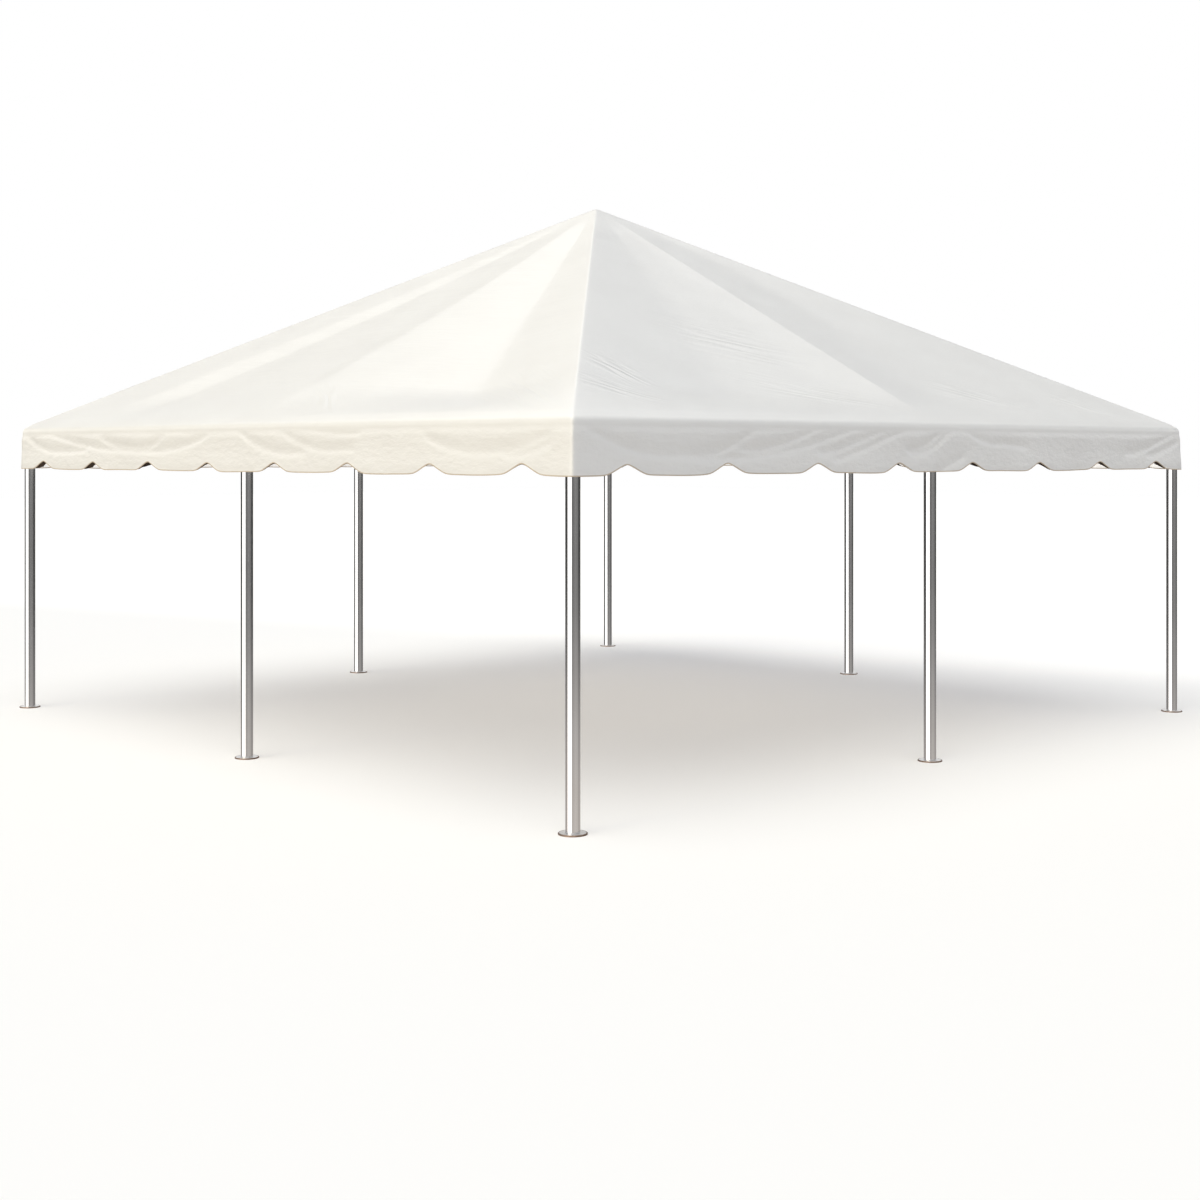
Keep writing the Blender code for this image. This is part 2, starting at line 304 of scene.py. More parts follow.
def floor_finish():
    """The glow that the camera sees, the weaker one that reaches the tent, and nothing for reflections."""
    sheet = recipe("floor_white")
    place = sheet.node("ShaderNodeTexCoord", output=PLACE)
    along = sheet.vector("DOT_PRODUCT", place, SWEEP_TOWARDS, output=1)
    glow = sheet.colours(sheet.ramp(along, *SWEEP_TURNS), GLOW_NEAR, GLOW_FAR)
    on_tent = floor_paint(sheet, GLOW_ON_TENT_COLOUR, GLOW_ON_TENT)
    matt = sheet.mixed(sheet.ray(CAMERA_RAY), on_tent, floor_paint(sheet, glow, GLOW_SEEN))
    return sheet.ends(sheet.mixed(sheet.ray(GLOSSY_RAY), matt, sheet.node("ShaderNodeBsdfTransparent")))


floor_plan = [(-1, -1), (1, -1), (1, 1), (-1, 1)]
floor_corners = [(x * FLOOR_REACH, y * FLOOR_REACH, -FLOOR_DROP) for x, y in floor_plan]
floor_mesh = bpy.data.meshes.new("floor")
floor_mesh.from_pydata(floor_corners, [], [(0, 1, 2, 3)])
floor_mesh.materials.append(floor_finish())
floor = put(bpy.data.objects.new("floor", floor_mesh))
print("the floor is", 2 * FLOOR_REACH, "m across")

# %% [markdown]
# What a shiny tube shows is the room that it reflects. A polished leg in a white studio has one white band,
# where it mirrors the big light panel on the left. The rest of it mirrors the unlit room: dark at both
# edges, with a grey window in front, and lighter towards the foot, where it mirrors the floor. Above the
# horizon is a white backdrop, which the base plates mirror, and above that a bright ceiling, which gives the
# coated cloth its sheen. The world holds that room for reflections only and stays plain white behind the
# tent. Matt surfaces get a soft cool light from everywhere and a warm one from low on the left.

# %% The room around the tent
WHITE = (1, 1, 1, 1)
FILL_STRENGTH = 0.424
FILL_COLOUR = (0.557, 0.715, 1.0, 1)
SIDE_STRENGTH = 1.136
SIDE_COLOUR = (1.0, 0.813, 0.393, 1)
PANEL_BRIGHTNESS = 2.6
WINDOW_BRIGHTNESS = 0.22
FRONT_BRIGHTNESS = 0.16
ROOM_BRIGHTNESS = 0.10
FLOOR_BRIGHTNESS = 0.62
BACKDROP_BRIGHTNESS = 1.5
CEILING_BRIGHTNESS = 1.75
CEILING_SHADE = 0.45
ROOM_TINT = (1, 0.99, 0.98, 1)
FLOOR_TINT = (1, 0.93, 0.87, 1)

# Heading in degrees clockwise from the back, half the width, and softness.
PANEL = (274, 33, 3)
WINDOW = (165, 24, 18)
FRONT = (222, 30, 20)
SIDE = (274, 50, 45)

# Heights on the unit sphere between which each one starts or stops.
PANEL_STOPS = (0.25, 0.40)
SIDE_STOPS = (0.0, 0.6)
FLOOR_STARTS = (0.06, 0.22)
BACKDROP_STARTS = (0.03, 0.10)
BACKDROP_STOPS = (0.22, 0.34)
CEILING_STARTS = (0.51, 0.62)
CEILING_SHADE_STARTS = (0.48, 0.62)


def lobe(room, level, heading, half_width, softness):
    """1 within half a width of a heading, with soft edges."""
    turn = math.radians(heading)
    facing = room.vector("DOT_PRODUCT", level, (math.sin(turn), math.cos(turn), 0.0), output=1)
    low = math.cos(math.radians(half_width + softness))
    high = math.cos(math.radians(max(half_width - softness, 0)))
    return room.ramp(facing, low, high)


def studio_world():
    """Even light for diffuse rays, white for the camera, and the room for reflections."""
    room = Recipe(bpy.data.worlds.new("studio"))

    def background(colour, strength):
        return room.node("ShaderNodeBackground", {}, {"Color": colour, "Strength": strength})

    ray = room.node("ShaderNodeTexCoord", output=DIRECTION)
    level = room.vector("NORMALIZE", room.vector("MULTIPLY", ray, (1.0, 1.0, 0.0)))
    right, height = room.part(ray, 0), room.part(ray, 2)
    panel = lobe(room, level, *PANEL) * (1 - room.ramp(height, *PANEL_STOPS))
    under = room.ramp(height * -1, *FLOOR_STARTS)
    backdrop = room.ramp(height, *BACKDROP_STARTS) * (1 - room.ramp(height, *BACKDROP_STOPS))
    shade = room.ramp(right, *CEILING_SHADE_STARTS) * CEILING_SHADE
    ceiling = room.ramp(height, *CEILING_STARTS) * (1 - shade)
    glow = panel * PANEL_BRIGHTNESS + lobe(room, level, *WINDOW) * WINDOW_BRIGHTNESS
    glow = glow + lobe(room, level, *FRONT) * FRONT_BRIGHTNESS + ROOM_BRIGHTNESS
    glow = glow + under * FLOOR_BRIGHTNESS + backdrop * BACKDROP_BRIGHTNESS + ceiling * CEILING_BRIGHTNESS
    mirrored = background(room.colours(under, ROOM_TINT, FLOOR_TINT), glow)
    beside = lobe(room, level, *SIDE) * (1 - room.ramp(height, *SIDE_STOPS))
    warm = background(SIDE_COLOUR, beside * SIDE_STRENGTH)
    even = room.node("ShaderNodeAddShader", {}, {0: background(FILL_COLOUR, FILL_STRENGTH), 1: warm})
    lit = room.mixed(room.ray(GLOSSY_RAY), even, mirrored)
    return room.ends(room.mixed(room.ray(CAMERA_RAY), lit, background(WHITE, 1.0)), "ShaderNodeOutputWorld")


bpy.context.scene.world = studio_world()
bpy.context.scene.view_settings.view_transform = "Standard"
print("the panel is seen", 2 * PANEL[1], "degrees wide")

# %% [markdown]
# ## From grids to meshes
# Each piece is a surface that numpy works out as a grid of points. Four neighbours in the grid make one
# face, and a grid may close on itself, as a tube does. The same grid carries a map in metres, so that a
# weave or a brushed line follows the surface.


# %% Grid surfaces
def grid_faces(rows, columns, close_rows=False, close_columns=False):
    """The corner numbers of a grid's faces, seen from the side where columns run right and rows run up."""
    row = np.arange(rows if close_rows else rows - 1)[:, None]
    column = np.arange(columns if close_columns else columns - 1)[None, :]
    above = (row + 1) % rows * columns
    beside = (column + 1) % columns
    corners = (row * columns + column, row * columns + beside, above + beside, above + column)
    return np.stack(corners, axis=-1).reshape(-1, 4)


def put_mesh(name, points, faces, maps):
    """A smooth object made from (n, 3) points, the corner numbers of its faces, and (corners, 2) maps."""
    mesh = bpy.data.meshes.new(name)
    mesh.vertices.add(len(points))
    mesh.vertices.foreach_set("co", np.asarray(points, np.float32).ravel())
    mesh.loops.add(faces.size)
    mesh.loops.foreach_set("vertex_index", faces.ravel().astype(np.int32))
    mesh.polygons.add(len(faces))
    mesh.polygons.foreach_set("loop_start", np.arange(0, faces.size, faces.shape[1], dtype=np.int32))
    mesh.update(calc_edges=True)
    layer = mesh.uv_layers.new(name="metres")
    layer.uv.foreach_set("vector", np.asarray(maps, np.float32).ravel())
    mesh.shade_smooth()
    return put(bpy.data.objects.new(name, mesh))


def dress(obj, material, slot, *nodes):
    """Give a piece its finish, let it ride on the frame, and let it stand for the solids that it covers."""
    obj.data.materials.append(material)
    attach(obj, "root")
    if nodes:
        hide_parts(*nodes)


def triangles(obj):
    """How many triangles a piece has before its modifiers."""
    sizes = np.zeros(len(obj.data.polygons), np.int32)
    obj.data.polygons.foreach_get("loop_total", sizes)
    return int((sizes - 2).sum())


print("a grid of 3 by 3 points has", len(grid_faces(3, 3)), "faces")

# %% [markdown]
# ## Bright tube
# The legs, rails and rafters are drawn metal tube with a polish that isn't perfect. Under a lens the polish
# is a mass of fine lines along the tube, some smoother than others, so a reflection breaks into thin
# stripes. Noise that is stretched a hundred times along the tube gives those lines to the gloss and to the
# surface.


# %% Finishes for metal
TUBE_COLOURS = (0.50, 0.49, 0.48, 1), (0.60, 0.60, 0.61, 1)
STEEL_COLOURS = (0.36, 0.34, 0.33, 1), (0.52, 0.51, 0.50, 1)


def tube_finish():
    """Polished tube with fine lines along it and a few dull patches."""
    metal = recipe("polished_tube")
    lines = metal.noise(metal.metres(), (260.0, 1.2, 1.0), detail=3.0)
    patches = metal.noise(metal.metres(), (9.0, 3.0, 1.0))
    sockets = {
        "Base Color": metal.colours(patches + 0.5, *TUBE_COLOURS),
        "Metallic": 1.0,
        "Roughness": lines * 0.07 + patches * 0.04 + 0.10,
        "Normal": metal.relief(lines, 0.00003),
    }
    return metal.painted(sockets)


def steel_finish():
    """Plated steel: a soft mottle in tone and gloss, with a fine grain."""
    metal = recipe("plated_steel")
    place = metal.node("ShaderNodeTexCoord", output=PLACE)
    mottle = metal.noise(place, (45.0, 45.0, 45.0), detail=4.0)
    grain = metal.noise(place, (900.0, 900.0, 900.0))
    sockets = {
        "Base Color": metal.colours(mottle + 0.5, *STEEL_COLOURS),
        "Metallic": 1.0,
        "Roughness": mottle * 0.25 + 0.42,
        "Normal": metal.relief(grain + mottle * 3, 0.00006),
    }
    return metal.painted(sockets)


bright_tube = tube_finish()
plated_steel = steel_finish()
print("finishes:", bright_tube.name, plated_steel.name)

# %% [markdown]
# ## Turned pieces
# A tube, a disc and a sleeve are all a profile that is turned about a line. The profile is a list of
# corners, each a place along the line and a radius. Real edges are never sharp, so the corners are rounded
# first.


# %% Profiles turned about a line
AROUND = 48
LIP = 0.0008
BEND_STEPS = 4
LONGEST_BEND = 0.3
HOLD_FLAT = 0.6
MERGE = 0.000001


def rounded(corners, radius, closed=False):
    """A profile with each corner replaced by a curve: weights (1-s)^2, 2s(1-s) and s^2 on three points.

    One more point on each side of the curve, a little way along the flat, keeps the flat's shading flat.
    """
    corners = np.array(corners, float)
    points = []
    for i, here in enumerate(corners):
        if not closed and i in (0, len(corners) - 1):
            points.append(here[None])
            continue
        to_last, to_next = corners[i - 1] - here, corners[(i + 1) % len(corners)] - here
        back = to_last * min(radius / np.linalg.norm(to_last), LONGEST_BEND)
        ahead = to_next * min(radius / np.linalg.norm(to_next), LONGEST_BEND)
        s = np.linspace(0, 1, BEND_STEPS)[:, None]
        curve = (1 - s) ** 2 * (here + back) + 2 * s * (1 - s) * here + s**2 * (here + ahead)
        points += [(here + back * (1 + HOLD_FLAT))[None], curve, (here + ahead * (1 + HOLD_FLAT))[None]]
    return np.concatenate(points)


def unit(vectors):
    """The same vectors, one long."""
    return vectors / np.linalg.norm(vectors, axis=-1, keepdims=True)


def way_along(path):
    """The way travelled from the first point of a path to each of its points."""
    return np.append(0, np.cumsum(np.linalg.norm(np.diff(path, axis=0), axis=1)))


def frame_about(axis):
    """Two unit vectors that make a right-handed set with an axis."""
    helper = (1.0, 0, 0) if abs(axis[0]) < 0.8 else (0, 1.0, 0)
    first = unit(np.cross(helper, axis))
    return first, np.cross(axis, first)


def turned(start, axis, profile, closed=False, around=AROUND):
    """Points start + axis * along + radius * (cos a * first + sin a * second), their faces and their map."""
    first, second = frame_about(axis)
    angle = np.arange(around) * 2 * np.pi / around
    along, radius = profile[:, 0, None, None], profile[:, 1, None, None]
    ring = np.cos(angle)[:, None] * first + np.sin(angle)[:, None] * second
    points = np.array(start, float) + along * np.array(axis, float) + radius * ring
    faces = grid_faces(len(profile), around, close_rows=closed, close_columns=True)
    column = np.arange(around)
    wide = np.stack([column, column + 1, column + 1, column], axis=-1) * 2 * np.pi / around
    wide = wide * profile[:, 1].max()
    row = np.arange(len(profile) if closed else len(profile) - 1)
    low, top = [np.append(way_along(profile), way_along(profile)[-1])[row + step] for step in (0, 1)]
    high = np.stack([low, low, top, top], axis=-1)
    maps = np.stack(np.broadcast_arrays(wide[None], high[:, None]), axis=-1)
    return points.reshape(-1, 3), faces, maps.reshape(-1, 2)


def joined(parts):
    """Several (points, faces, maps) as one, with the corner numbers moved on."""
    points, faces, maps = zip(*parts)
    shifts = np.cumsum([0] + [len(some) for some in points])
    faces = [some + shift for some, shift in zip(faces, shifts)]
    return np.concatenate(points), np.concatenate(faces), np.concatenate(maps)


def close_poles(obj):
    """Merge the points that meet on a turned piece's own line, which turns their faces into triangles."""
    bm = bmesh.new()
    bm.from_mesh(obj.data)
    bmesh.ops.remove_doubles(bm, verts=bm.verts, dist=MERGE)
    bm.to_mesh(obj.data)
    bm.free()
    return obj


def turned_piece(name, parts):
    """An object made of turned parts."""
    return close_poles(put_mesh(name, *joined(parts)))


print("a full turn has", AROUND, "steps")

# %% [markdown]
# ## Legs
# A leg is one straight length of tube with its ends deburred. It stands on the base plate's spigot and
# slides into the sleeve of the fitting above. The profile goes up the outside and down the inside, so the
# tube is open and has its real wall.

# %% Eight legs
WALL = 0.003


def tube_part(start, end):
    """A hollow tube from one point to another."""
    start, end = np.array(start, float), np.array(end, float)
    length = np.linalg.norm(end - start)
    corners = [(0, TUBE), (length, TUBE), (length, TUBE - WALL), (0, TUBE - WALL)]
    return turned(start, (end - start) / length, rounded(corners, LIP, closed=True), closed=True)


FEET = [*CORNERS, *(f"{side}_middle" for side in SIDES)]
for foot in FEET:
    low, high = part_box(f"leg_{foot}")
    x, y, _ = (low + high) / 2
    leg = turned_piece(f"fine_leg_{foot}", [tube_part((x, y, low.z), (x, y, high.z))])
    dress(leg, bright_tube, "tube", f"leg_{foot}")
print("8 legs,", triangles(leg), "triangles each")

# %% [markdown]
# ## Base plates
# Each leg stands on a thin steel disc with a spigot in the middle. The disc spreads the load so that the
# tube doesn't cut into the ground, and its rim is chamfered. The top is plated and bright, and the rim is a
# dull dark brown, which a mask along the profile gives.

# %% Eight base plates
PLATE = 0.075
PLATE_THICKNESS = 0.008
CLEARANCE = 0.0004
SPIGOT = TUBE - WALL - CLEARANCE
SPIGOT_TOP = 0.08
PLATE_CHAMFER = 0.002
DARK_RIM_REACH = 0.004
DARK_RIM_COLOURS = (0.10, 0.065, 0.045, 1), (0.26, 0.19, 0.15, 1)
PLATED_COLOUR = (0.62, 0.62, 0.63, 1)


def plate_finish():
    """Bright plated top and a dark rim, told apart by the way along the profile from the underside."""
    metal = recipe("plate_steel")
    edge = PLATE + PLATE_THICKNESS + DARK_RIM_REACH
    spots = metal.noise(metal.metres(), (60.0, 60.0, 1.0), detail=3.0)
    travelled = metal.part(metal.metres(), 1)
    top = metal.ramp(spots * 0.003 + travelled, edge - 0.001, edge + 0.002)
    dark_rim = metal.colours(spots + 0.5, *DARK_RIM_COLOURS)
    sockets = {
        "Base Color": metal.colours(top, dark_rim, PLATED_COLOUR),
        "Metallic": 1.0,
        "Roughness": top * -0.22 + spots * 0.1 + 0.52,
        "Normal": metal.relief(spots, 0.0002),
    }
    return metal.painted(sockets)


def plate_part(x, y):
    """A disc with a spigot, as one turned profile from the middle of its underside to the spigot's top."""
    shoulder = PLATE - PLATE_CHAMFER
    corners = [(0, 0), (0, PLATE), (PLATE_THICKNESS - PLATE_CHAMFER, PLATE), (PLATE_THICKNESS, shoulder)]
    corners += [(PLATE_THICKNESS, SPIGOT), (SPIGOT_TOP, SPIGOT), (SPIGOT_TOP, 0)]
    return turned((x, y, 0), (0, 0, 1), rounded(corners, LIP), around=2 * AROUND)


plate_steel = plate_finish()
for foot in FEET:
    low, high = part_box(f"base_plate_{foot}")
    x, y, _ = (low + high) / 2
    plate = turned_piece(f"fine_base_plate_{foot}", [plate_part(x, y)])
    dress(plate, plate_steel, "steel", f"base_plate_{foot}")
print("8 base plates,", triangles(plate), "triangles each")

# %% [markdown]
# ## Eave rails and rafters
# The rails run behind the top of the valance and the rafters under the roof's creases. All are the same tube
# as the legs, cut to length, and each ends inside a sleeve. Everything is worked out for the front and
# turned by quarters, as the real frame comes from one drawing.

# %% Rails and rafters
SOCKET = 0.10
CROWN_SOCKET = 0.125
TURNS = [(1, 0), (0, 1), (-1, 0), (0, -1)]
LEFT, MIDDLE, RIGHT = [np.array((x, -RAIL, EAVE)) for x in (-RAIL, 0, RAIL)]
TOP = np.array((0, 0, CROWN))


def quarter(point, count):
    """A point turned about the tent's middle by a number of quarter turns."""
    cosine, sine = TURNS[count]
    x, y, z = point
    return np.array((cosine * x - sine * y, sine * x + cosine * y, z), float)


def run_between(start, end, end_gap, count):
    """A tube that stops short of the joints at its two ends, turned to its side."""
    way = unit(end - start)
    return tube_part(quarter(start + way * SOCKET, count), quarter(end - way * end_gap, count))


for count, side in enumerate(SIDES):
    runs = {
        f"eave_rail_{side}_{HALVES[count][0]}": (LEFT, MIDDLE, SOCKET),
        f"eave_rail_{side}_{HALVES[count][1]}": (RIGHT, MIDDLE, SOCKET),
        f"hip_rafter_{CORNERS[count]}": (LEFT, TOP, CROWN_SOCKET),
        f"middle_rafter_{side}": (MIDDLE, TOP, CROWN_SOCKET),
    }
    for node, run in runs.items():
        dress(turned_piece(f"fine_{node}", [run_between(*run, count)]), bright_tube, "tube", node)
print("8 rails and 8 rafters")

# %% [markdown]
# ## Fittings
# Where tubes meet, a welded fitting holds them: one sleeve for each tube, cut to fit its neighbours. A
# corner has four sleeves, a side has four, and the crown has eight round a drum. They are modelled as
# sleeves with a real bore, a ball where their lines cross, and the weld bead in each crotch. The bead
# follows the curve where two equal round bars meet, which is half an ellipse.

# %% Sleeves
BORE = TUBE + CLEARANCE
BALL = SLEEVE * 1.002
SLEEVE_LENGTH = corner_high.x + RAIL
LEG_SLEEVE = EAVE - corner_low.z
LEG_SOCKET = 0.06
CROWN_REACH = (crown_high.x - SLEEVE * math.sin(PITCH)) / math.cos(PITCH)
UP = np.array((0, 0, 1.0))


def slope(azimuth, pitch):
    """Unit vector at this angle from +X in plan, rising at this pitch."""
    level = math.cos(pitch)
    return np.array((level * math.cos(azimuth), level * math.sin(azimuth), math.sin(pitch)))


def sleeve_part(start, axis, length, socket, begins=0):
    """A bar with a bore from its far end back to the tube's end."""
    corners = [(begins, 0), (begins, SLEEVE), (length, SLEEVE), (length, BORE), (socket, BORE), (socket, 0)]
    return turned(start, axis, rounded(corners, LIP))


def ball_part(start):
    """A ball, as a half circle turned about the vertical."""
    angle = np.linspace(-np.pi / 2, np.pi / 2, AROUND // 2 + 1)
    return turned(start, UP, BALL * np.stack([np.sin(angle), np.cos(angle)], axis=-1))


print(f"sleeves: eave {SLEEVE_LENGTH:.3f} m, leg {LEG_SLEEVE:.3f} m, crown {CROWN_REACH:.3f} m")

# %% [markdown]
# A bead is a small tube carried along a path. Its radius swells and shrinks a little, as a weld does where
# the torch has paused, and it runs out to nothing at both ends, so it closes itself.


# %% Weld beads
BEAD = 0.0034
BEAD_STEPS = 61
BEAD_AROUND = 8
RIPPLE = 0.08
RIPPLES = 22


def along_path(points, radius, normal, around):
    """Rings of the given radii carried along a path: point + radius * (cos a * normal - sin a * across)."""
    way = unit(np.gradient(points, axis=0))
    across = unit(np.cross(way, normal))
    normal = np.cross(across, way)
    angle = np.arange(around)[None, :, None] * 2 * np.pi / around
    ring = np.cos(angle) * normal[:, None] - np.sin(angle) * across[:, None]
    rings = points[:, None] + radius[:, None, None] * ring
    faces = grid_faces(len(points), around, close_columns=True)
    return rings.reshape(-1, 3), faces, np.zeros((faces.size, 2))


def bead_part(start, first, second):
    """The bead in a crotch: R cos t / sin(half the sleeves' angle) on the bisector, and R sin t across."""
    bisector, across = unit(first + second), unit(np.cross(first, second))
    half_angle = math.acos(first @ second) / 2
    turn = np.linspace(-np.pi / 2, np.pi / 2, BEAD_STEPS)[:, None]
    offset = SLEEVE * (np.cos(turn) / math.sin(half_angle) * bisector + np.sin(turn) * across)
    ripple = 1 + RIPPLE * np.sin(np.linspace(0, RIPPLES * 2 * np.pi, BEAD_STEPS))
    radius = BEAD * np.sqrt(np.clip(np.cos(turn[:, 0]), 0, 1)) * ripple
    return along_path(start + offset, radius, np.cos(turn) * bisector + np.sin(turn) * across, BEAD_AROUND)


print("a bead has", (BEAD_STEPS - 1) * BEAD_AROUND * 2, "triangles")

# %% [markdown]
# Two sleeves that lie in one line have no crotch, and at the crown only neighbours touch. The ring pins sit
# on the inner and lower side, where a rigger can reach them and where they can't rub the cloth.

# %% Nine fittings
PIN = 0.004
PIN_HEAD = 0.0076
PIN_HEAD_RISE = 0.004
PIN_RISE = 0.013
PIN_ROUND = 0.001
PIN_AROUND = 20
PIN_REACH = (LEG_SLEEVE * 0.8, SLEEVE_LENGTH * 0.84, SLEEVE_LENGTH * 0.84)
RING = 0.016
RING_STEPS = 29
RING_OUT = 0.009
RING_SLACK = 0.003
RING_WIRE = 0.0016
RING_AROUND = 6
IN_ONE_LINE = -0.999


def pin_part(start, axis, reach, side):
    """A pin with a ring through its head, on one side of a sleeve."""
    place = start + axis * reach
    low, high, top = SLEEVE - PIN_HEAD_RISE, SLEEVE + PIN_HEAD_RISE, SLEEVE + PIN_RISE
    head = [(low, 0), (low, PIN_HEAD), (high, PIN_HEAD), (high, PIN), (top, PIN), (top, 0)]
    shank = turned(place, side, rounded(head, PIN_ROUND), around=PIN_AROUND)
    turn = np.linspace(0, 2 * np.pi, RING_STEPS)[:, None]
    centre = place + side * (SLEEVE + RING_OUT) - UP * (RING - RING_SLACK)
    ring = centre + RING * (np.cos(turn) * UP + np.sin(turn) * axis)
    wire = np.full(RING_STEPS, RING_WIRE)
    return [shank, along_path(ring, wire, np.broadcast_to(side, ring.shape), RING_AROUND)]


def fitting(node, start, axes, pin_sides):
    """A ball, sleeves for the leg and for three more tubes, a bead in each crotch, and three pins."""
    parts = [ball_part(start), sleeve_part(start, axes[0], LEG_SLEEVE, LEG_SOCKET)]
    parts += [sleeve_part(start, axis, SLEEVE_LENGTH, SOCKET) for axis in axes[1:]]
    for i, axis in enumerate(axes):
        parts += [bead_part(start, axis, other) for other in axes[:i] if axis @ other > IN_ONE_LINE]
    for axis, reach, side in zip(axes, PIN_REACH, pin_sides):
        parts += pin_part(start, axis, reach, side)
    piece = turned_piece(f"fine_{node}", parts)
    dress(piece, plated_steel, "steel", node)
    return piece


for count in range(4):
    right, inward = quarter((1, 0, 0), count), quarter((0, 1, 0), count)
    hip = slope((count + 0.5) * math.pi / 2, HIP_PITCH)
    rafter = slope((count + 1) * math.pi / 2, PITCH)
    pin_sides = (unit(right + inward), inward, right)
    fitting(f"corner_fitting_{CORNERS[count]}", quarter(LEFT, count), (-UP, right, inward, hip), pin_sides)
    axes = (-UP, right, -right, rafter)
    piece = fitting(f"side_fitting_{SIDES[count]}", quarter(MIDDLE, count), axes, (inward, inward, inward))
print("4 corner fittings and 4 side fittings,", triangles(piece), "triangles each")

# %% [markdown]
# The crown is a drum with a sleeve for each of the eight rafters. The sleeves slope down from it like the
# legs of a spider, and they are wide enough to touch one another near the drum.

# %% The crown
DRUM = 0.056
DRUM_LOW = crown_low.z - CROWN
DRUM_TOP = 0.006
DRUM_ROUND = 0.003
CROWN_STUB = 0.05

drum_corners = [(DRUM_LOW, 0), (DRUM_LOW, DRUM), (DRUM_TOP, DRUM), (DRUM_TOP, 0)]
crown_parts = [turned(TOP, UP, rounded(drum_corners, DRUM_ROUND))]
for k in range(8):
    axis = slope(k * math.pi / 4, -(HIP_PITCH if k % 2 else PITCH))
    crown_parts.append(sleeve_part(TOP, axis, CROWN_REACH, CROWN_SOCKET, CROWN_STUB))
crown_piece = turned_piece("fine_crown_fitting", crown_parts)
dress(crown_piece, plated_steel, "steel", "crown_fitting")
print("the crown has", triangles(crown_piece), "triangles")

# %% [markdown]
# ## Coated cloth
# The canopy is woven polyester with a white coating on both faces. Close up it shows the weave as a fine
# grid, softened by the coating, and a fine grain. From further off it shows faint level wrinkles from being
# rolled up, slanted drag lines where it is pulled, a crumple where it hangs free, and a slow drift in tone.
# The cloth map is in metres, so the weave keeps its size on every piece. The short wall is one thin layer,
# and its inner face is given a soft glow: painted light that stands in for the daylight through the cloth.


# %% The cloth's finish
THREAD = 0.003
SIDE_STRIP = 7.0
HANGS = (0.0, 0.03)
WEAVE_RELIEF = 0.00004
SLUB_RELIEF = 0.00005
CRUMPLE_RELIEF = 0.0040
GATHER_RELIEF = 0.018
GATHER_FADES = (0.2, 1.0)
COATED = (0.755, 0.745, 0.735, 1), (0.78, 0.775, 0.765, 1)
TAN = (0.47, 0.39, 0.30, 1), (0.54, 0.46, 0.37, 1)
# Near black for the painted shade behind the notches.
NOTCH_SHADE_BLACK = (0.010, 0.008, 0.007, 1), (0.045, 0.027, 0.018, 1)

# Wrinkles, streaks, pillows and grain: bumps to a metre, detail, and height in metres.
RELIEFS = [
    ((1.3, 8.0, 1.0), 3.0, 0.003),
    ((6.0, 34.0, 1.0), 3.0, 0.0008),
    ((1.1, 1.9, 1.0), 1.0, 0.005),
    ((70.0, 110.0, 1.0), 2.0, 0.00035),
]

# Drag lines on the slopes: centre on the cloth map of the front and of the left side, direction in degrees,
# half the length, half the width, and the lines in that half.
GATHERS = [
    ((-2.20, 0.66), -54, 0.34, 0.24, 3.0),
    ((-2.42, 0.40), -30, 0.46, 0.20, 3.0),
    ((-0.70, 0.46), -25, 0.80, 0.32, 4.6),
    ((-0.78, 1.22), -22, 0.70, 0.44, 4.6),
    ((1.05, 0.48), -31, 0.80, 0.28, 4.0),
    ((2.15, 0.38), -36, 0.55, 0.18, 2.2),
    ((SIDE_STRIP + 2.35, 0.42), -30, 0.80, 0.34, 4.4),
    ((SIDE_STRIP + 0.55, 0.35), -35, 0.50, 0.16, 2.0),
]


def gathers(cloth, flat):
    """Drag lines: in each oval, noise squeezed across the pull, folded at 0, fading from the middle."""
    moved = cloth.vector("ADD", flat, (SIDE_STRIP / 2, 0, 0))
    wrapped = cloth.vector("WRAP", moved, (2 * SIDE_STRIP, 9, 9), (0, -9, -9))
    total = 0
    for (across, up), turn, length, width, lines in GATHERS:
        sockets = {
            "Vector": wrapped,
            "Location": (across + SIDE_STRIP / 2, up, 0),
            "Rotation": (0, 0, math.radians(turn)),
            "Scale": (length, width, 1),
        }
        oval = cloth.node("ShaderNodeMapping", {"vector_type": "TEXTURE"}, sockets)
        fades = 1 - cloth.ramp(cloth.vector("LENGTH", oval, output=1), *GATHER_FADES)
        total = cloth.noise(oval, (0.9, lines, 1.0), detail=1.0).maths("ABSOLUTE") * fades + total
    return total


def cloth_finish(name, dark, light, roughness, glow=0.0, gloss=0.5):
    """Coated weave: threads at their real spacing, relief, a slow mottle, a soft gloss, and some glow."""
    cloth = recipe(name)
    flat = cloth.metres()
    across, down = cloth.part(flat, 0), cloth.part(flat, 1)
    turns = 2 * math.pi / THREAD
    weave = (across * turns).maths("SINE") * (down * turns).maths("SINE")
    mottle = cloth.noise(flat, (3.0, 3.0, 1.0), detail=4.0, roughness=0.6)
    slubs = cloth.noise(flat, (40.0, 420.0, 1.0))
    crumple = cloth.noise(flat, (15.0, 26.0, 1.0), detail=3.0, roughness=0.6) * cloth.ramp(down * -1, *HANGS)
    height = weave * WEAVE_RELIEF + slubs * SLUB_RELIEF + crumple * CRUMPLE_RELIEF
    for stretch, detail, relief in RELIEFS:
        height = height + cloth.noise(flat, stretch, detail) * relief
    height = height + gathers(cloth, flat) * GATHER_RELIEF
    sockets = {
        "Base Color": cloth.colours(mottle * 1.2 + 0.5, dark, light),
        "Roughness": mottle * 0.10 + slubs * 0.06 + roughness,
        "Specular IOR Level": gloss,
        "Emission Color": light,
        "Emission Strength": glow,
        "Normal": cloth.relief(height, 1.0),
    }
    return cloth.painted(sockets)


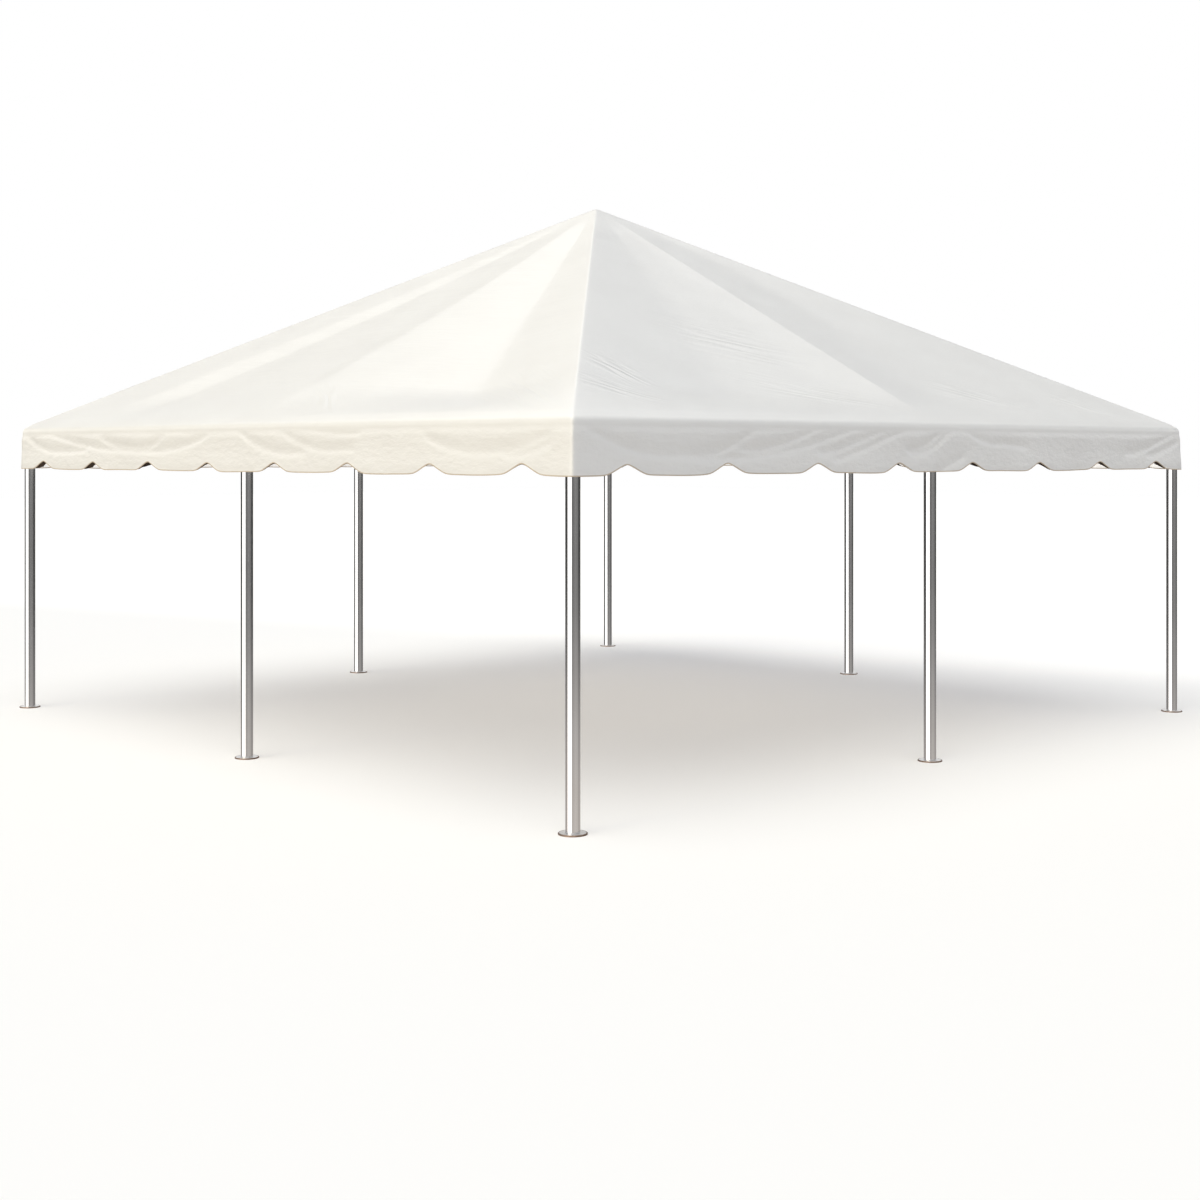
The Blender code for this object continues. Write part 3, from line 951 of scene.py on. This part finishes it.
canopy_cloth = cloth_finish("canopy_cloth", *COATED, 0.34)
# The valance's inner face glows: painted light in place of daylight shining through the thin wall.
glowing_inner_cloth = cloth_finish("glowing_inner_cloth", *COATED, 0.5, glow=0.62)
binding_cloth = cloth_finish("binding_cloth", *TAN, 0.7)
# Near-black cloth for the painted shade behind the notches, which stands for the shaded inside of the far
# walls.
notch_shade_cloth = cloth_finish("notch_shade_cloth", *NOTCH_SHADE_BLACK, 0.75, gloss=0.1)
print("cloths:", canopy_cloth.name, binding_cloth.name, notch_shade_cloth.name)

# %% [markdown]
# ## The roof's outline
# The roof is one sheet, so it is one grid: columns run round the tent and rows run from the eave to the
# peak. Every row is a square in plan. Sharp corners would look like folded card, so the square is softened:
# a smooth stand-in for the larger of two distances replaces the larger itself, which rounds each corner by
# millimetres.


# %% Four sides as one ring
CORNER = 0.013
CLOTH = 0.002
FINE_STEPS = 4001


def smooth_between(low, high, value):
    """0 under low, 1 over high, and 3s^2 - 2s^3 between them."""
    s = np.clip((value - low) / (high - low), 0, 1)
    return s * s * (3 - 2 * s)


def spread(count, density):
    """count + 1 places from 0 to 1 that crowd where density is high: equal steps of its running sum."""
    fine = np.linspace(0, 1, FINE_STEPS)
    total = np.append(0, np.cumsum((density(fine[1:]) + density(fine[:-1])) / 2))
    return np.interp(np.linspace(0, 1, count + 1), total / total[-1], fine)


def on_side(along, out, height, count):
    """One side's points: the square |x|, |y| = out becomes out * point / softened maximum, and is turned."""
    softened = (np.abs(along) + out + np.hypot(np.abs(along) - out, CORNER)) / 2
    scale = out / softened
    x, y = along * scale, -out * scale
    cosine, sine = TURNS[count]
    return np.stack([cosine * x - sine * y, sine * x + cosine * y, height], axis=-1)


def ring_maps(along, travelled, count):
    """The cloth map of one side's faces in metres, along the side and up, on a strip of its own."""
    grid = np.stack([along + count * SIDE_STRIP, travelled], axis=-1)
    return np.stack([grid[:-1, :-1], grid[:-1, 1:], grid[1:, 1:], grid[1:, :-1]], axis=2)


def ring_sheet(name, sides):
    """A closed ring from four sides' (points, maps) grids. The last column of each belongs to the next."""
    points, maps = zip(*sides)
    points = np.concatenate([grid[:, :-1] for grid in points], axis=1)
    faces = grid_faces(*points.shape[:2], close_columns=True)
    return put_mesh(name, points.reshape(-1, 3), faces, np.concatenate(maps, axis=1).reshape(-1, 2))


def thicken(obj, thickness):
    """Give a sheet its back face, behind the face that it was made with."""
    wall = obj.modifiers.new("thickness", "SOLIDIFY")
    wall.thickness = thickness
    wall.offset = -1
    return wall


print("the corners are rounded over", CORNER * 1000, "mm")

# %% [markdown]
# From the side the cloth first stands straight up behind the rail's outer edge, bends over the rail on a
# circle, and then runs straight to the peak, which a small round softens.

# %% Section of the roof
FOLD_ROWS = 8
SLOPE_ROWS = 62
TUCK = 0.012
HOLD = 0.0004
TIP = 0.012


def row_density(s):
    """Rows are closer together on the lowest part of the slope and at the tip."""
    return 1 + 1.2 * (s < 0.3) + 3 * np.exp(-(((1 - s) / 0.01) ** 2))


def roof_section():
    """Distance out and height of each row: a short wall, an arc about the rail, and the slope."""
    turn = np.linspace(0, np.pi / 2 - PITCH, FOLD_ROWS + 1)
    fold = np.stack([RAIL + COVER * np.cos(turn), EAVE + COVER * np.sin(turn)], axis=-1)
    wall = np.array([(EDGE, EAVE - TUCK), (EDGE, EAVE - TUCK + HOLD)])
    fold_out, fold_height = fold[-1]
    out = fold_out * (1 - spread(SLOPE_ROWS, row_density)[1:])
    height = fold_height + (fold_out - np.hypot(out, TIP) + TIP * out / fold_out) * math.tan(PITCH)
    rows = np.concatenate([wall, fold, np.stack([out, height], axis=-1)])
    return rows[:, 0], rows[:, 1], way_along(rows)


row_out, row_height, row_travelled = roof_section()
print("the cloth is", round(float(row_travelled[-1]), 3), "m from the eave to the peak")

# %% [markdown]
# ## How the roof sags
# The cloth is held up along three lines on each face: the two hips and the middle rafter. Between them it
# hangs a little and makes soft valleys. Where it was pulled tighter on the slant, a low ridge runs between a
# valley and the hip. Each half of a face is a chain of straight slopes, and every bend of the chain is eased
# by a curve.

# %% Valleys and ridges
ROOF_COLUMNS = 160
SAG = 0.092
SAG_STARTS = (0.03, 0.16)
SAG_ENDS = (0.86, 1.0)
CREASE_EASE = 0.005

# Each bend's place, from 0 at the middle crease to 1 at the hip, near the peak and at the eave. Then its
# depth, near the peak and at the eave, and its ease. Each side has the bends of its left half and of its
# right half.
BAYS = {
    "left": (
        [(0.19, 0.60, 0.30, 0.42, 0.014), (0.42, 0.75, 0.02, 0.02, 0.02)],
        [(0.33, 0.004, -0.48, -0.008, 0.006), (0.46, 0.26, 0.0, 0.20, 0.06), (0.71, 0.68, 0.92, 1.02, 0.02)],
    ),
    "front": (
        [(0.16, 0.18, 0.44, 0.50, 0.06), (0.48, 0.56, 0.86, 0.90, 0.06)],
        [(0.80, 0.06, 0.70, 0.30, 0.08)],
    ),
}


def chain(place, bends, weight):
    """A chain of slopes through the bends, each eased by (u + hypot(u, ease)) / 2, and 0 at both ends."""
    near_place, far_place, near_depth, far_depth, ease = np.array(bends).T[:, :, None, None]
    ends = np.zeros((1, *weight.shape))
    places = np.concatenate([ends, near_place + (far_place - near_place) * weight, ends + 1])
    depths = np.concatenate([ends, near_depth + (far_depth - near_depth) * weight, ends])
    turns = np.diff(np.diff(depths, axis=0) / np.diff(places, axis=0), axis=0)

    def sum_of_bends(u):
        away = u[None] - places[1:-1]
        return (turns * (away + np.hypot(away, ease)) / 2).sum(axis=0)

    start, end = sum_of_bends(ends[0]), sum_of_bends(ends[0] + 1)
    return sum_of_bends(place) - start * (1 - place) - end * place


def sag(across, out, count):
    """Depth below the flat roof, for places from -1 to 1 along the side and a distance from the peak."""
    left, right = BAYS[SEEN[count]]
    weight = np.clip(out / RAIL, 0, 1)
    place = np.hypot(across, CREASE_EASE) - CREASE_EASE
    place = np.clip(place / (math.hypot(1, CREASE_EASE) - CREASE_EASE), 0, 1)
    shape = np.where(across < 0, chain(place, left, weight), chain(place, right, weight))
    grows = weight * smooth_between(*SAG_STARTS, weight) * (1 - smooth_between(*SAG_ENDS, weight))
    return SAG * grows * shape


def column_density(s):
    """Columns are closer together at the middle crease and at the hip."""
    return 1 + 5 * (np.exp(-((s / 0.02) ** 2)) + np.exp(-(((1 - s) / 0.02) ** 2)))


def roof_side(count):
    """One side of the roof as points and maps."""
    half = spread(ROOF_COLUMNS // 2, column_density)
    across, out = np.meshgrid(np.append(half - 1, half[1:]), row_out)
    height = row_height[:, None] - sag(across, out, count)
    travelled = np.broadcast_to(row_travelled[:, None], across.shape)
    return on_side(across * out, out, height, count), ring_maps(across * out, travelled, count)


roof = close_poles(ring_sheet("fine_roof", [roof_side(count) for count in range(4)]))
thicken(roof, CLOTH)
dress(roof, canopy_cloth, "canopy", *[f"roof_panel_{side}" for side in SIDES])
print("the roof has", 2 * triangles(roof), "triangles, both faces counted")

# %% [markdown]
# ## The valance
# The short wall hangs from the same welded edge. Its hem is cut in shallow points: between two of them the
# hem is level, and at each it rises to a rounded peak and falls again. There are eight on each side.

# %% The scalloped hem
NOTCHES = 8
NOTCH_STEP = 2 * EDGE / NOTCHES
NOTCH_DEPTH = 0.057
NOTCH_HALF_WIDTH = 0.138
PEAK_EASE = 0.022
FOOT_EASE = 0.016
WALL_COLUMNS = 384
WALL_ROWS = 30
CROWDING = 0.6


def notch(along):
    """Height of the hem above its level: it falls away from the nearest notch, eased at top and foot."""
    distance = np.abs((along + EDGE) % NOTCH_STEP - NOTCH_STEP / 2)
    eased = np.hypot(distance, PEAK_EASE) - PEAK_EASE
    slant = NOTCH_DEPTH * (1 - eased / (NOTCH_HALF_WIDTH - PEAK_EASE))
    return (slant + np.hypot(slant, FOOT_EASE)) / 2


def wall_columns():
    """Places along a side in metres, closer together at the notches and half-way between them."""
    even = np.arange(WALL_COLUMNS + 1) / WALL_COLUMNS
    turns = 2 * np.pi * NOTCHES * 2
    return (even - CROWDING * np.sin(turns * even) / turns) * 2 * EDGE - EDGE


print("the notches are", round(float(notch(np.array([EDGE / NOTCHES]))[0]) * 1000, 1), "mm high")

# %% [markdown]
# Cloth that is pulled along a rail and left free below hangs in slanted drag folds: each starts under the
# rail, runs down to a lowest point, and some turn up again. The picture shows them as an arc with a soft
# dark side above and a narrow bright side below. So each is a valley along two curves from its lowest point,
# wide above and narrow below.

# %% Drag folds
FOLD_DEPTH = 0.0060
FOLD_ABOVE = 0.045
FOLD_BELOW = 0.016
FOLD_FADE = 0.11
FOLD_SUM = 1.3

# Start, lowest point and end of each fold: metres to the right of the middle leg, and metres up. Then its
# power, which is 2 for a parabola and nearer 1 for a straighter line.
FOLDS = {
    "left": [
        ((-3.00, 2.060), (-2.49, 1.911), (-1.96, 1.925), 2.0),
        ((-2.62, 2.058), (-1.37, 1.916), (-0.86, 2.053), 2.0),
        ((-1.88, 2.023), (-1.08, 1.912), (-0.32, 2.035), 2.0),
        ((-0.08, 2.076), (0.50, 1.900), (0.75, 1.905), 2.0),
        ((0.41, 2.058), (0.97, 1.917), (1.25, 1.925), 2.0),
        ((0.75, 2.054), (1.14, 2.014), (1.30, 2.024), 2.0),
        ((1.79, 2.019), (2.32, 1.903), (2.95, 2.027), 2.0),
        ((2.50, 1.893), (2.60, 1.892), (2.91, 1.967), 2.0),
    ],
    "front": [
        ((-3.03, 2.075), (-2.27, 1.884), (-1.58, 2.100), 2.4),
        ((-2.22, 1.872), (-2.02, 1.868), (-0.64, 2.100), 2.0),
        ((-1.86, 1.923), (-1.71, 1.922), (-1.06, 2.080), 1.8),
        ((-1.20, 1.905), (-1.08, 1.903), (-0.36, 2.100), 1.3),
        ((-1.06, 1.865), (-0.96, 1.863), (-0.11, 2.105), 1.1),
        ((-0.32, 1.917), (-0.22, 1.915), (0.15, 2.115), 1.5),
        ((-0.30, 1.899), (-0.20, 1.897), (0.23, 2.110), 1.8),
        ((-0.04, 1.790), (0.02, 1.789), (0.32, 1.887), 1.1),
        ((0.30, 2.060), (0.65, 1.960), (1.05, 1.930), 2.0),
        ((2.21, 1.900), (2.36, 1.898), (3.01, 2.070), 1.3),
        ((2.51, 1.884), (2.61, 1.882), (3.06, 2.000), 1.3),
    ],
}


def fold_relief(along, height, count):
    """Sum of the valleys: depth * exp(-(s / width)^2), s being the distance above or below each arc.

    An arc's height is that of its lowest point, plus the rise * |share of the way to its end| ^ power.
    """
    total = np.zeros_like(along)
    for (x0, z0), (x1, z1), (x2, z2), power in FOLDS[SEEN[count]]:
        reach = np.where(along < x1, x1 - x0, x2 - x1)
        rise = np.where(along < x1, z0 - z1, z2 - z1)
        share = np.abs(along - x1) / reach
        lean = power * rise * share ** (power - 1) / reach
        away = (height - z1 - rise * share**power) / np.hypot(1, lean)
        ease = FOLD_FADE * (x2 - x0)
        fade = smooth_between(0, ease, along - x0) * smooth_between(0, ease, x2 - along)
        total += fade * np.exp(-((away / np.where(away > 0, FOLD_ABOVE, FOLD_BELOW)) ** 2))
    return FOLD_DEPTH * np.clip(total, 0, FOLD_SUM)


print(sum(len(FOLDS[seen]) for seen in SEEN), "folds in all")

# %% [markdown]
# Where nothing pulls, the wall leans out a little below the rail and again near the hem, and its free edge
# waves. The waves are sums of sines whose lengths divide the whole way round, so that they meet themselves
# again.

# %% The hanging wall
LEAN_OUT = 0.005
LEAN_MORE = 0.9
HEM_FLUTTER = 0.004
HEM_LIFT = 0.004
LIFT_PHASE = 2.6
WAVES = ((13, 1.0, 0.4), (29, 0.7, 1.9), (47, 0.4, 4.1))
CORNER_FADE = 0.05

# How far below the rail's centre the cloth is free, leans out more, and waves.
FREE_FROM = (TUCK, 0.055)
LEANS_FROM = (0.12, 0.25)
WAVES_FROM = (0.05, 0.27)


def flutter(along, count, phase):
    """A sum of three sines along the way round: 13, 29 and 47 waves, each weaker than the last."""
    turn = (along + EDGE + count * 2 * EDGE) / (8 * EDGE) * 2 * np.pi
    total = sum(weight * np.sin(waves * turn + start + phase) for waves, weight, start in WAVES)
    return total / sum(weight for _, weight, _ in WAVES)


def hem_height(along, count):
    """The hem's height: its level, the notches, and a slight wave."""
    return HEM + notch(along) + HEM_LIFT * flutter(along, count, LIFT_PHASE)


def wall_out(along, height, count):
    """How far out the cloth hangs. It leans out twice, waves near the hem, and dips in the folds."""
    along, height = np.broadcast_arrays(along, height)
    drop = EAVE - height
    leans = LEAN_OUT * (1 + LEAN_MORE * smooth_between(*LEANS_FROM, drop))
    waves = HEM_FLUTTER * flutter(along, count, 0.0) * smooth_between(*WAVES_FROM, drop)
    folds = smooth_between(0.0, CORNER_FADE, EDGE - np.abs(along)) * fold_relief(along, height, count)
    return EDGE + smooth_between(*FREE_FROM, drop) * (leans + waves - folds)


def wall_side(count, rows):
    """Points and maps of one wall, with row 0 at the hem and the last row under the rail."""
    along, share = np.meshgrid(wall_columns(), rows)
    hem = hem_height(along, count)
    height = hem + (EAVE - TUCK - hem) * share
    out = wall_out(along, height, count)
    along = along * (out / EDGE)
    return on_side(along, out, height, count), ring_maps(along, height - EAVE + TUCK, count)


edge_row = HOLD / (EAVE - HEM)
wall_rows = np.sort(np.append(np.linspace(0, 1, WALL_ROWS - 1), [edge_row, 1 - edge_row]))
walls = [wall_side(count, wall_rows) for count in range(4)]
valance = ring_sheet("fine_valance", walls)
valance_wall = thicken(valance, CLOTH)
dress(valance, canopy_cloth, "canopy", *[f"valance_{side}" for side in SIDES])
# The inner face takes the glowing cloth, a painted light.
valance.data.materials.append(glowing_inner_cloth)
valance_wall.material_offset = 1
print("the valance has", 2 * triangles(valance), "triangles, both faces counted")

# %% [markdown]
# The cut edge is bound with a narrow tan tape that is folded over it. From the front only a thin line of it
# shows.

# %% Binding tape
TAPE = 0.0065
TAPE_THICK = 0.0036
TAPE_ROUND = TAPE_THICK * 0.4
TAPE_BELOW = 0.0008
TAPE_MAP_STEP = 0.002

hem_path, above_path = [np.concatenate([points[row, :-1] for points, _ in walls]) for row in (0, 1)]
way = unit(np.roll(hem_path, -1, axis=0) - np.roll(hem_path, 1, axis=0))
outwards = unit(np.cross(way, unit(above_path - hem_path)))
up = np.cross(outwards, way)
tape_corners = np.array([(0.5, 1), (-0.5, 1), (-0.5, 0), (0.5, 0)]) * (TAPE_THICK, TAPE)
tape_corners = rounded(tape_corners, TAPE_ROUND, closed=True)
centre = hem_path - outwards * CLOTH / 2 - up * TAPE_BELOW
tape_rows = centre + tape_corners[:, :1, None] * outwards + tape_corners[:, 1:, None] * up
tape_faces = grid_faces(*tape_rows.shape[:2], close_rows=True, close_columns=True)
travelled = way_along(hem_path)
tape_map = np.stack(np.meshgrid(travelled, np.arange(len(tape_rows)) * TAPE_MAP_STEP), axis=-1)
tape_map = tape_map.reshape(-1, 2)[tape_faces.ravel()]
tape = put_mesh("fine_binding", tape_rows.reshape(-1, 3), tape_faces, tape_map)
dress(tape, binding_cloth, "canopy")
print("binding", round(float(travelled[-1]), 2), "m long")

# %% [markdown]
# Behind one flank of each notch a dark sheet is set in as painted shade. It stands for the shaded inside of
# the far walls, seen through the notch. It bridges the curve of the hem like a bowstring, so a sliver of it
# shows below the white cloth, most of all at the notches far from the front corner.

# %% Painted shade behind the notches
PATCH_COLUMNS = 31
PATCH_REACH = (-0.135, 0.045)
PATCH_PEAK = -0.012
PATCH_RISE = 0.022
PATCH_END_RISE = 0.004
PATCH_INSET = 0.0034
PATCH_THICK = 0.001

# How far each patch drops below the hem at its notch, from the far end of the wall to the front corner.
PATCH_SHOWS = {
    "left": (0.040, 0.036, 0.016, 0.010, 0.007, 0.004, 0.003, 0.004),
    "front": (0.022, 0.018, 0.014, 0.005, 0.003, 0.002, 0.001, 0.001),
}


def notch_shade_part(count, number):
    """One patch, between its bowstring below the hem and a curve above it. The front's are mirrored."""
    offset = np.linspace(*PATCH_REACH, PATCH_COLUMNS)
    shows = np.interp(offset, [PATCH_REACH[0], PATCH_PEAK, PATCH_REACH[1]], [0, 1, 0])
    middle = (number + 0.5) * NOTCH_STEP - EDGE
    if SEEN[count] == "front":
        offset, shows, number = -offset[::-1], shows[::-1], NOTCHES - 1 - number
    along = middle + offset
    hem = hem_height(along, count)
    low = np.maximum(hem - shows * PATCH_SHOWS[SEEN[count]][number], hem - notch(along))
    rise = PATCH_RISE * np.sin(np.linspace(0, np.pi, PATCH_COLUMNS)) + PATCH_END_RISE
    height = np.stack([low, (low + hem + rise) / 2, hem + rise])
    along = np.broadcast_to(along, height.shape)
    out = wall_out(along, np.maximum(height, hem), count) - PATCH_INSET
    faces = grid_faces(*height.shape)
    flat = np.stack([along, height], axis=-1).reshape(-1, 2)
    return on_side(along, out, height, count).reshape(-1, 3), faces, flat[faces.ravel()]


# Dark slivers of painted shade, standing for the shaded inside of the far walls seen through the notches.
notch_shade_parts = [notch_shade_part(count, number) for count in range(4) for number in range(NOTCHES)]
patches = put_mesh("fine_notch_shade", *joined(notch_shade_parts))
thicken(patches, PATCH_THICK)
dress(patches, notch_shade_cloth, "canopy")
print(len(notch_shade_parts), "patches")

# %% [markdown]
# ## What the cloth was cut from
# Laid flat, the roof is four triangles round one point with a strip along each outer edge. The valance is
# one long strip. Both sizes follow from the section worked out above.

# %% Sheets
print(f"valance {8 * EDGE:.2f} m by {EAVE - HEM:.3f} m")
